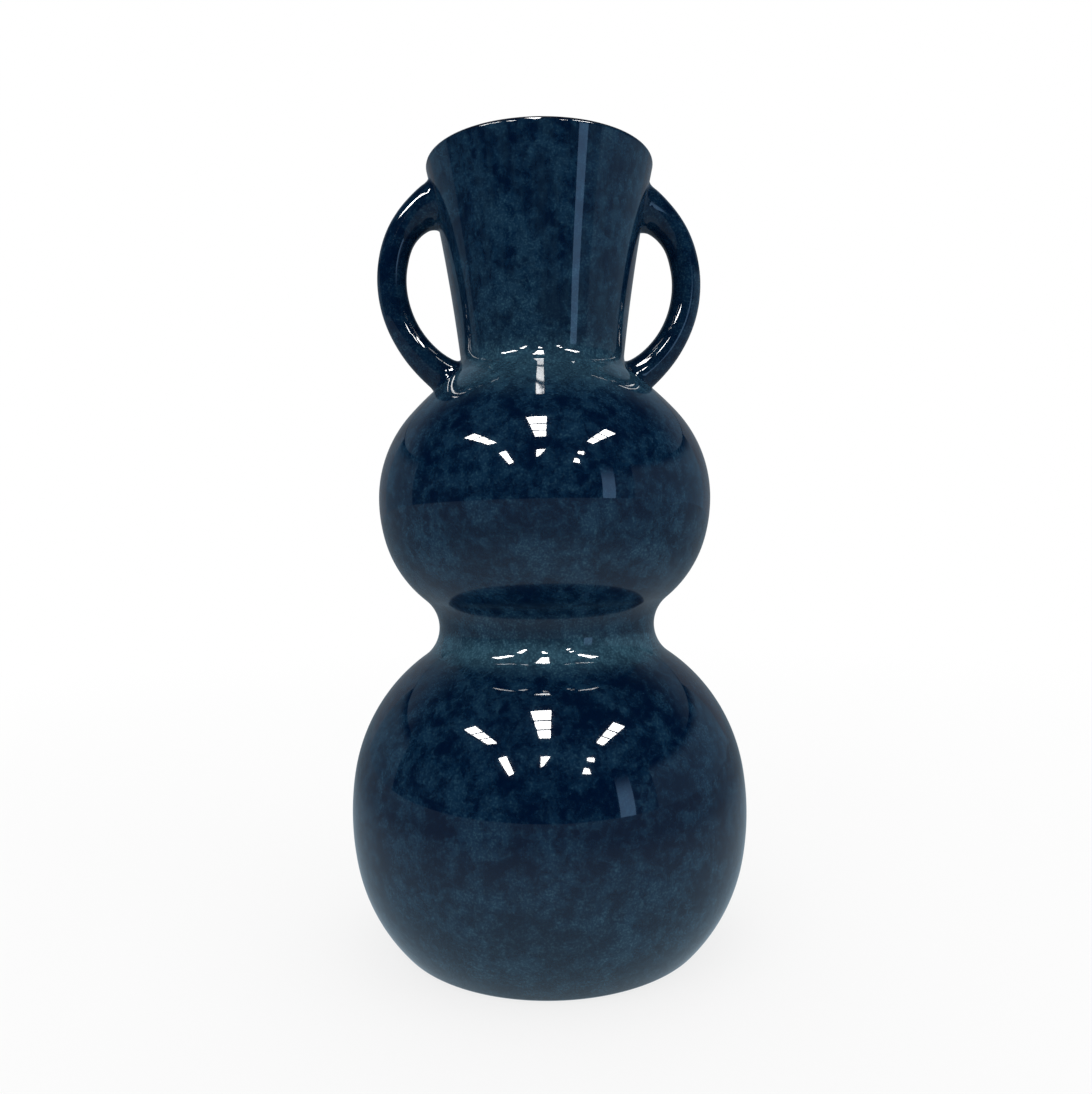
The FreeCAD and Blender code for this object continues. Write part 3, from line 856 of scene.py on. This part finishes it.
class Effect(Graph):
    """A node group that works out one mask or height from a place and some numbers."""

    def __init__(self, name: str, numbers: tuple[str, ...], result: str = "Mask") -> None:
        """Starts the group.

        Args:
            name: the group's name.
            numbers: the names of its number inputs, which come after Place.
            result: the name of its output.
        """
        super().__init__(bpy.data.node_groups.new(name, "ShaderNodeTree"))
        sockets = self.tree.interface
        sockets.new_socket("Place", in_out="INPUT", socket_type="NodeSocketVector")
        for number in numbers:
            sockets.new_socket(number, in_out="INPUT", socket_type="NodeSocketFloat")
        sockets.new_socket(result, in_out="OUTPUT", socket_type="NodeSocketFloat")
        self.given = self.add("NodeGroupInput").outputs

    def close(self, result: Socket) -> bpy.types.NodeTree:
        """Puts out the result and hands over the finished group."""
        self.add("NodeGroupOutput", {0: result})
        return self.tree


class GlazeEffects:
    """The effects that the glazes share, each built once as a node group."""

    def __init__(self) -> None:
        """Builds every effect."""
        self.cloud = self.make_spots("cloud_mottle", detail=6.0, roughness=0.62, distortion=0.45)
        self.speckle = self.make_spots("pale_speckle", detail=3.0, roughness=0.75)
        self.runs = self.make_runs()
        self.band_paling = self.make_band_paling()
        self.waver = self.make_waver()

    @staticmethod
    def make_spots(name: str, detail: float, roughness: float, distortion: float = 0.0) -> bpy.types.NodeTree:
        """Spots of any size, for glaze that pooled thick or thin and for pale grains that float in it.

        Args:
            name: the group's name.
            detail: how many finer layers the spots have.
            roughness: how strong the finer layers are.
            distortion: how far the spots are stirred.

        Returns:
            The finished group.
        """
        effect = Effect(name, ("Scale", "Low", "High"))
        given = effect.given
        noise = effect.noise(given["Place"], given["Scale"], detail, roughness, distortion)
        return effect.close(effect.between(noise, given["Low"], given["High"]))

    @staticmethod
    def make_runs() -> bpy.types.NodeTree:
        """Upright streaks where the glaze ran down.

        Returns:
            The finished group.
        """
        faintest, strongest = 0.38, 0.66
        effect = Effect("glaze_runs", ("Scale", "Stretch"))
        given = effect.given
        parts = effect.add("ShaderNodeSeparateXYZ", {0: given["Place"]}).outputs
        height = effect.math("DIVIDE", parts["Z"], given["Stretch"])
        squeezed = effect.add("ShaderNodeCombineXYZ", {0: parts["X"], 1: parts["Y"], 2: height})
        noise = effect.noise(squeezed.outputs[0], given["Scale"], detail=4.0, roughness=0.6)
        return effect.close(effect.between(noise, faintest, strongest))

    @staticmethod
    def make_band_paling() -> bpy.types.NodeTree:
        """A paler band round the pot, with an uneven edge, for thin glaze and for painted floor reflection.

        Returns:
            The finished group.
        """
        effect = Effect("pale_band", ("Middle", "Reach", "Unevenness"))
        given = effect.given
        noise = effect.noise(given["Place"], scale=55.0, detail=5.0, roughness=0.6)
        shift = effect.math("SUBTRACT", noise, 0.5)
        height = effect.scaled(shift, given["Unevenness"], effect.axis(given["Place"], "Z"))
        off = effect.math("ABSOLUTE", effect.math("SUBTRACT", height, given["Middle"]))
        return effect.close(effect.between(off, given["Reach"], 0.0))

    @staticmethod
    def make_waver() -> bpy.types.NodeTree:
        """The height of the fired surface: slow waves and a faint orange peel.

        Returns:
            The finished group.
        """
        effect = Effect("surface_waver", ("Wave Height", "Peel Height"), "Height")
        given = effect.given
        wave = effect.noise(given["Place"], scale=32.0, detail=1.0)
        peel = effect.noise(given["Place"], scale=260.0, detail=1.0)
        slow = effect.math("MULTIPLY", wave, given["Wave Height"])
        return effect.close(effect.scaled(peel, given["Peel Height"], slow))


@dataclass(frozen=True)
class Band:
    """A paler band round the pot: thin glaze, and painted floor reflection where it lies over the lower half
    of a gourd.
    """

    middle: float
    reach: float
    strength: float
    unevenness: float = 0.012


@dataclass(frozen=True)
class Spots:
    """How close together the spots of a layer lie, and where its noise fades in."""

    scale: float
    low: float
    high: float

    def lay(self, graph: Graph, tree: bpy.types.NodeTree, place: Socket) -> Socket:
        """Lays the spots over a surface."""
        return graph.group(tree, {"Place": place, "Scale": self.scale, "Low": self.low, "High": self.high})


@dataclass(frozen=True)
class Glaze:
    """A deep blue glaze that breaks to grey teal where it is thin, with the same grey teal painted as floor
    reflection in some bands.
    """

    name: str
    deep: Colour = (0.0002, 0.0052, 0.0215, 1.0)
    body: Colour = (0.0016, 0.0165, 0.0455, 1.0)
    # grey teal of thin glaze, also laid as painted floor reflection by the bands over the gourds' lower
    # halves
    thin: Colour = (0.044, 0.114, 0.162, 1.0)
    lip: Colour = (0.012, 0.009, 0.009, 1.0)
    broad_spots: Spots = Spots(58.0, 0.34, 0.68)
    close_spots: Spots = Spots(190.0, 0.34, 0.68)
    grains: Spots = Spots(950.0, 0.48, 0.66)
    broad_share: float = 0.55
    pooling: tuple[float, float] = (0.08, 0.92)
    veil: float = 0.1
    grain_share: float = 0.3
    band_mottle: float = 0.4
    band_grain: tuple[float, float] = (0.85, 0.6)
    bands: tuple[Band, ...] = ()
    runs_above: float | None = None
    runs_fade: float = 0.02
    runs_scale: float = 260.0
    runs_stretch: float = 22.0
    runs_share: float = 0.07
    lip_above: float | None = None
    lip_fade: float = 0.002
    roughness: float = 0.035
    reflectance: float = 0.5
    bending: float = 1.5
    wave_height: float = 0.00006
    peel_height: float = 0.0000015

    def make(self, effects: GlazeEffects) -> bpy.types.Material:
        """Builds the material.

        Args:
            effects: the node groups that the glazes share.

        Returns:
            The material.
        """
        material, graph = new_material(self.name)
        place = graph.object_place()
        colour = self.pool(graph, effects, place)
        if self.runs_above is not None:
            colour = self.add_runs(graph, effects, place, colour)
        if self.lip_above is not None:
            share = graph.between(graph.axis(place, "Z"), self.lip_above, self.lip_above + self.lip_fade)
            colour = graph.mix(share, colour, self.lip)
        waver = {"Place": place, "Wave Height": self.wave_height, "Peel Height": self.peel_height}
        height = graph.group(effects.waver, waver)
        bump = graph.add("ShaderNodeBump", {"Height": height, "Distance": 1.0, "Strength": 1.0})
        shader = graph.add(
            "ShaderNodeBsdfPrincipled",
            {
                "Base Color": colour,
                "Roughness": self.roughness,
                "IOR": self.bending,
                "Specular IOR Level": self.reflectance,
                "Normal": bump.outputs[0],
            },
        )
        graph.add("ShaderNodeOutputMaterial", {"Surface": shader.outputs[0]})
        return material

    def pool(self, graph: Graph, effects: GlazeEffects, place: Socket) -> Socket:
        """Works out the glaze's colour, dark where it pooled and pale in bands, spots and grains; the bands
        over the gourds' lower halves are painted floor reflection.

        Args:
            graph: the material's graph.
            effects: the node groups that the glazes share.
            place: where a point lies on its piece.

        Returns:
            The colour.
        """
        broad = self.broad_spots.lay(graph, effects.cloud, place)
        close = self.close_spots.lay(graph, effects.cloud, place)
        grain = self.grains.lay(graph, effects.speckle, place)
        both = graph.scaled(broad, self.broad_share, graph.math("MULTIPLY", close, 1.0 - self.broad_share))
        pooled = graph.between(both, *self.pooling)
        veil = graph.math("MULTIPLY", graph.math("MULTIPLY", broad, close), self.veil)
        faint = graph.scaled(graph.math("MULTIPLY", grain, pooled), self.grain_share, veil)
        mottled = graph.scaled(close, self.band_mottle, 1.0 - self.band_mottle)
        band_texture = graph.math("MULTIPLY", mottled, graph.scaled(grain, *self.band_grain))
        pale_share = graph.scaled(self.band_paleness(graph, effects, place), band_texture, faint, clamp=True)
        return graph.mix(pale_share, graph.mix(pooled, self.deep, self.body), self.thin)

    def band_paleness(self, graph: Graph, effects: GlazeEffects, place: Socket) -> Socket | float:
        """How far the glaze is paled, from all its bands together: thin glaze, and painted floor reflection.

        Args:
            graph: the material's graph.
            effects: the node groups that the glazes share.
            place: where a point lies on its piece.

        Returns:
            The paleness, which is plain zero where the glaze has no bands.
        """
        total: Socket | float = 0.0
        for band in self.bands:
            values = {"Middle": band.middle, "Reach": band.reach, "Unevenness": band.unevenness}
            mask = graph.group(effects.band_paling, {"Place": place} | values)
            total = graph.scaled(mask, band.strength, total, clamp=True)
        return total

    def add_runs(self, graph: Graph, effects: GlazeEffects, place: Socket, colour: Socket) -> Socket:
        """Lays upright streaks over the neck.

        Args:
            graph: the material's graph.
            effects: the node groups that the glazes share.
            place: where a point lies on its piece.
            colour: the colour below the streaks.

        Returns:
            The colour with the streaks.
        """
        above = graph.between(graph.axis(place, "Z"), self.runs_above, self.runs_above + self.runs_fade)
        values = {"Place": place, "Scale": self.runs_scale, "Stretch": self.runs_stretch}
        runs = graph.math("MULTIPLY", graph.group(effects.runs, values), above)
        return graph.mix(graph.math("MULTIPLY", runs, self.runs_share), colour, self.thin)


@dataclass(frozen=True)
class Card:
    """A dim card of the studio wall, which only the glaze mirrors."""

    name: str
    start: float
    end: float
    glow: Triple
    fade_share: float = 0.35


@dataclass(frozen=True)
class Skylight:
    """A row of bright roof panes, between a far edge and a near edge at ceiling height."""

    name: str
    far_left: tuple[float, float]
    far_right: tuple[float, float]
    near_left: tuple[float, float]
    near_right: tuple[float, float]
    panes: int = 3
    strength: float = 60.0
    bar_share: float = 0.09


@dataclass(frozen=True)
class SoftLamp:
    """A large soft lamp, aimed at the middle of the vase."""

    name: str
    place: Triple
    width: float
    power: float


@dataclass(frozen=True)
class Studio:
    """The floor, the white surroundings, the soft lamps and what the glaze mirrors.

    The glaze mirrors dim cards, a ceiling, a table top and roof panes, which no other ray meets.
    """

    turn: float
    pane_height: float = 3.0
    pane_tint: Triple = (1.0, 1.0, 1.0)
    wall_radius: float = 7.0
    wall_height: float = 3.2
    panel_turn: float = 4.0
    ceiling_overhang: float = 1.1
    ceiling_tint: Triple = (0.7, 0.98, 1.25)
    ceiling_glow: tuple[float, float] = (0.01, 0.22)
    ceiling_reach: tuple[float, float] = (0.6, 4.0)
    floor_size: float = 30.0
    floor_grey: float = 0.9
    floor_lift: float = 0.8
    fade_start: float = 0.25
    fade_end: float = 1.2
    ambient: float = 0.8
    table_height: float = 0.0002
    table_tint: Triple = (0.8, 1.03, 1.2)
    table_glow: tuple[float, float] = (0.38, 0.19)
    table_reach: tuple[float, float] = (0.1, 0.6)
    aim: Triple = (0.0, 0.0, 0.2)
    lamps: tuple[SoftLamp, ...] = (
        SoftLamp("soft_key", (-1.4, -1.8, 2.4), 1.6, 12.0),
        SoftLamp("soft_fill", (1.8, -1.2, 1.6), 1.6, 7.0),
        SoftLamp("soft_top", (0.2, 0.8, 2.6), 1.8, 8.0),
    )
    cards: tuple[Card, ...] = (
        Card("card_front", -58, 38, (0.01, 0.01, 0.01)),
        Card("card_window", 38, 47, (0.75, 1.35, 2.2)),
        Card("card_gap", 47, 61, (0.07, 0.09, 0.11)),
        Card("card_right", 61, 136, (0.18, 0.27, 0.35), 0.7),
        Card("card_back", 136, 224, (0.18, 0.21, 0.24), 0.97),
        Card("card_left", 224, 262, (0.13, 0.2, 0.26), 0.7),
        Card("card_left_dark", 262, 302, (0.02, 0.025, 0.03)),
    )
    skylights: tuple[Skylight, ...] = (
        Skylight("roof_centre", (-0.45, -1.08), (0.08, -1.08), (-0.30, -2.35), (0.07, -2.35)),
        Skylight("roof_left", (-2.80, -1.10), (-2.29, -1.17), (-2.27, -2.30), (-1.87, -2.35)),
        Skylight("roof_right", (1.98, -1.22), (2.47, -1.23), (1.73, -2.44), (2.06, -2.53)),
        Skylight("roof_far_centre", (-0.33, -3.55), (0.06, -3.55), (-0.40, -4.45), (-0.25, -4.30), 1),
        Skylight("roof_far_left", (-2.22, -3.40), (-1.80, -3.30), (-2.35, -5.30), (-1.95, -5.00), 1),
        Skylight("roof_far_right_a", (1.68, -3.55), (2.00, -3.50), (1.75, -3.80), (2.12, -3.85), 1),
        Skylight("roof_far_right_b", (1.80, -4.50), (2.10, -4.60), (1.90, -5.20), (2.40, -5.20), 1),
    )

    def build(self) -> None:
        """Puts up the whole studio."""
        self.set_world()
        self.add_floor()
        self.add_table()
        for card in self.cards:
            self.add_card(card)
        self.add_ceiling()
        for skylight in self.skylights:
            self.add_skylight(skylight)
        for lamp in self.lamps:
            self.add_lamp(lamp)
        counts = (len(self.cards), len(self.skylights), len(self.lamps))
        LOG.info("studio: %d cards, %d skylights, %d lamps", *counts)

    @staticmethod
    def seen_directly(graph: Graph) -> Socket:
        """Tells the rays that reach the camera, straight, mirrored or passed on, from soft light.

        Args:
            graph: the graph of a material or of the world.

        Returns:
            One for a ray that reaches the camera, and zero for soft light.
        """
        path = graph.add("ShaderNodeLightPath").outputs
        mirrored = graph.math("ADD", path["Is Camera Ray"], path["Is Glossy Ray"])
        return graph.scaled(path["Is Transmission Ray"], 1.0, mirrored, clamp=True)

    @staticmethod
    def distance_from_axis(graph: Graph) -> Socket:
        """How far a point of the floor is from the vase's axis."""
        place = graph.object_place()
        return graph.add("ShaderNodeVectorMath", {0: place}, operation="LENGTH").outputs["Value"]

    @staticmethod
    def level_sheet(half: float, height: float) -> tuple[list[Triple], list[Face]]:
        """The corners and the face of a level square over the axis."""
        corners = [(-half, -half, height), (half, -half, height), (half, half, height), (-half, half, height)]
        return corners, [(0, 1, 2, 3)]

    def set_world(self) -> None:
        """White surroundings that light the vase at a plain level."""
        world = bpy.data.worlds.new("white_surroundings")
        world.use_nodes = True
        graph = Graph(world.node_tree)
        strength = graph.scaled(self.seen_directly(graph), 1.0 - self.ambient, self.ambient)
        light = graph.add("ShaderNodeBackground", {"Color": (1.0, 1.0, 1.0, 1.0), "Strength": strength})
        graph.add("ShaderNodeOutputWorld", {"Surface": light.outputs[0]})
        bpy.context.scene.world = world

    def add_floor(self) -> None:
        """A pale floor that keeps the vase's shadow and fades into the white surroundings."""
        floor = make_mesh("floor", *self.level_sheet(self.floor_size / 2, 0.0))
        material, graph = new_material("pale_floor")
        grey = (self.floor_grey, self.floor_grey, self.floor_grey, 1.0)
        matt = graph.add("ShaderNodeBsdfDiffuse", {"Color": grey})
        white = graph.add("ShaderNodeEmission", {"Strength": 1.0})
        distance = self.distance_from_axis(graph)
        away = graph.between(distance, self.fade_start, self.fade_end, self.floor_lift, 1.0)
        share = graph.math("MULTIPLY", self.seen_directly(graph), away)
        both = graph.add("ShaderNodeMixShader", {0: share, 1: matt.outputs[0], 2: white.outputs[0]})
        graph.add("ShaderNodeOutputMaterial", {"Surface": both.outputs[0]})
        floor.data.materials.append(material)

    def add_mirrored(
        self, name: str, corners: list[Triple], faces: list[Face], material: bpy.types.Material
    ) -> None:
        """Adds a piece that only the glaze mirrors, turned as the camera is.

        Args:
            name: the piece's name.
            corners: its vertices.
            faces: the vertices of each face.
            material: its glowing material.
        """
        thing = make_mesh(name, corners, faces)
        thing.data.materials.append(material)
        thing.rotation_euler.z = math.radians(self.turn)
        thing.visible_camera = False
        thing.visible_diffuse = False
        thing.visible_shadow = False
        thing.visible_transmission = False
        thing.visible_volume_scatter = False

    def add_card(self, card: Card) -> None:
        """Stands a curved card on the floor, seen from the vase between two directions.

        Args:
            card: the card, whose glow dies away towards the top of the wall.
        """
        count = math.ceil((card.end - card.start) / self.panel_turn)
        corners: list[Triple] = []
        for azimuth in np.linspace(card.start, card.end, count + 1):
            turn = math.radians(azimuth)
            across, back = self.wall_radius * math.sin(turn), -self.wall_radius * math.cos(turn)
            corners.extend([(across, back, 0.0), (across, back, self.wall_height)])
        faces = [(2 * i, 2 * i + 2, 2 * i + 3, 2 * i + 1) for i in range(count)]
        material, graph = new_material(f"{card.name}_glow")
        height = graph.axis(graph.object_place(), "Z")
        fading = graph.between(height, self.wall_height * card.fade_share, self.wall_height, 1.0, 0.0)
        graph.glow(card.glow, fading)
        self.add_mirrored(card.name, corners, faces, material)

    def add_ceiling(self) -> None:
        """A ceiling above the panes, dark in front of the vase and paler behind it."""
        material, graph = new_material("ceiling_glow")
        behind = graph.axis(graph.object_place(), "Y")
        graph.glow(self.ceiling_tint, graph.between(behind, *self.ceiling_reach, *self.ceiling_glow))
        sheet = self.level_sheet(self.wall_radius * self.ceiling_overhang, self.wall_height)
        self.add_mirrored("ceiling", *sheet, material)

    def add_table(self) -> None:
        """A grey table top, brightest round the vase."""
        material, graph = new_material("table_glow")
        distance = self.distance_from_axis(graph)
        graph.glow(self.table_tint, graph.between(distance, *self.table_reach, *self.table_glow))
        self.add_mirrored("table_top", *self.level_sheet(self.wall_radius, self.table_height), material)

    def add_skylight(self, skylight: Skylight) -> None:
        """Hangs one row of panes, with bars between them.

        Args:
            skylight: the row of panes.
        """
        corners: list[Triple] = []
        faces: list[Face] = []
        edges = ((skylight.far_left, skylight.near_left), (skylight.far_right, skylight.near_right))
        for pane in range(skylight.panes):
            start = (pane + (skylight.bar_share if pane else 0.0)) / skylight.panes
            end = (pane + 1 - (skylight.bar_share if pane < skylight.panes - 1 else 0.0)) / skylight.panes
            first = len(corners)
            for share in (start, end):
                for far, near in edges:
                    across, back = np.array(far) * (1 - share) + np.array(near) * share
                    corners.append((across, back, self.pane_height))
            faces.append((first, first + 1, first + 3, first + 2))
        material, graph = new_material(f"{skylight.name}_glow")
        graph.glow(self.pane_tint, skylight.strength)
        self.add_mirrored(skylight.name, corners, faces, material)

    def add_lamp(self, lamp: SoftLamp) -> None:
        """Hangs a soft lamp that lights the vase and the floor and isn't mirrored.

        Args:
            lamp: the lamp.
        """
        light = bpy.data.lights.new(lamp.name, "AREA")
        light.size = lamp.width
        light.energy = lamp.power
        thing = bpy.data.objects.new(lamp.name, light)
        aim = Vector(self.aim) - Vector(lamp.place)
        turned = aim.to_track_quat("-Z", "Y").to_matrix().to_4x4()
        thing.matrix_world = Matrix.Translation(lamp.place) @ turned
        thing.visible_glossy = False
        bpy.context.scene.collection.objects.link(thing)


@dataclass(frozen=True)
class Viewpoint:
    """The camera of the photograph, turned round the vase so that the left handle is the nearer one.

    Its frame and its focal length are in pixels.
    """

    turn: float = -5.0
    across: float = 0.000149
    distance: float = 0.46655
    height: float = 0.21056
    yaw: float = 0.0177
    pitch: float = -1.163
    roll: float = -0.9295
    focal_pixels: float = 883.86
    frame_width: int = 1092
    frame_height: int = 1094
    sensor: float = 36.0
    nearest: float = 0.01

    def make(self) -> None:
        """Stands the camera where the photograph was taken from."""
        yaw, pitch, roll = (math.radians(angle) for angle in (self.yaw, self.pitch, self.roll))
        forward = Vector((math.sin(yaw) * math.cos(pitch), math.cos(yaw) * math.cos(pitch), math.sin(pitch)))
        level = Vector((math.cos(yaw), -math.sin(yaw), 0.0))
        upright = level.cross(forward)
        right = level * math.cos(roll) + upright * math.sin(roll)
        up = upright * math.cos(roll) - level * math.sin(roll)
        data = bpy.data.cameras.new("photograph")
        data.sensor_width = self.sensor
        data.lens = self.focal_pixels * self.sensor / max(self.frame_width, self.frame_height)
        data.clip_start = self.nearest
        camera = bpy.data.objects.new("photograph", data)
        aim = Matrix((right, up, -forward)).transposed().to_4x4()
        place = Matrix.Translation((self.across, -self.distance, self.height))
        camera.matrix_world = Matrix.Rotation(math.radians(self.turn), 4, "Z") @ place @ aim
        bpy.context.scene.collection.objects.link(camera)
        bpy.context.scene.camera = camera


@dataclass(frozen=True)
class Vase:
    """The whole vase: its thrown walls, its handles and their glazes."""

    section: Section

    def pot_glaze(self) -> Glaze:
        """The glaze of the thrown walls, thin at the waist and at the neck's foot, and paler over the lower
        halves of both gourds: painted floor reflection, mixed with thin glaze near the foot.

        Returns:
            The glaze.
        """
        size = self.section
        bands = (
            Band(size.waist_height - 0.0083, 0.0095, 1.0, 0.004),
            Band(size.waist_height, 0.018, 0.22, 0.006),
            # painted floor reflection: paler over the upper gourd's lower half, which mirrors the floor
            Band(size.waist_height + 0.04, 0.028, 0.1),
            Band(size.neck_height - 0.013, 0.02, 0.66, 0.01),
            Band(size.neck_height + 0.01, 0.035, 0.12),
            # paler towards the foot: thin glaze, and painted floor reflection where the lower gourd mirrors
            # the floor
            Band(0.0, 0.085, 0.32),
        )
        lip_height = size.rim_height - size.lip_radius
        return Glaze("pot_glaze", bands=bands, runs_above=size.neck_height, lip_above=lip_height)

    def build(self) -> None:
        """Makes and dresses every piece."""
        effects = GlazeEffects()
        pot_glaze = self.pot_glaze().make(effects)
        handle_glaze = Glaze(
            "handle_glaze", deep=(0.0004, 0.0058, 0.022, 1.0), body=(0.0014, 0.0135, 0.038, 1.0), veil=0.03
        ).make(effects)
        walls = ThrownWalls(self.section)
        for piece, node in (
            (walls.lower_gourd(), "lower_gourd"),
            (walls.upper_gourd(), "upper_gourd"),
            (walls.flared_neck(), "flared_neck"),
        ):
            piece.data.materials.append(pot_glaze)
            stand_for(piece, node)
        for side in Side:
            piece = PulledHandle(self.section, side).make()
            piece.data.materials.append(handle_glaze)
            stand_for(piece, f"handle_{side.name.lower()}")


def main() -> None:
    """Builds the studio, the camera and the vase."""
    logging.basicConfig(level=logging.INFO, format="%(name)s: %(message)s")
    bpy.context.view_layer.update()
    bpy.context.scene.view_settings.view_transform = "Standard"
    viewpoint = Viewpoint()
    viewpoint.make()
    Studio(viewpoint.turn).build()
    Vase(Section.from_frame()).build()


if __name__ == "__main__":
    main()
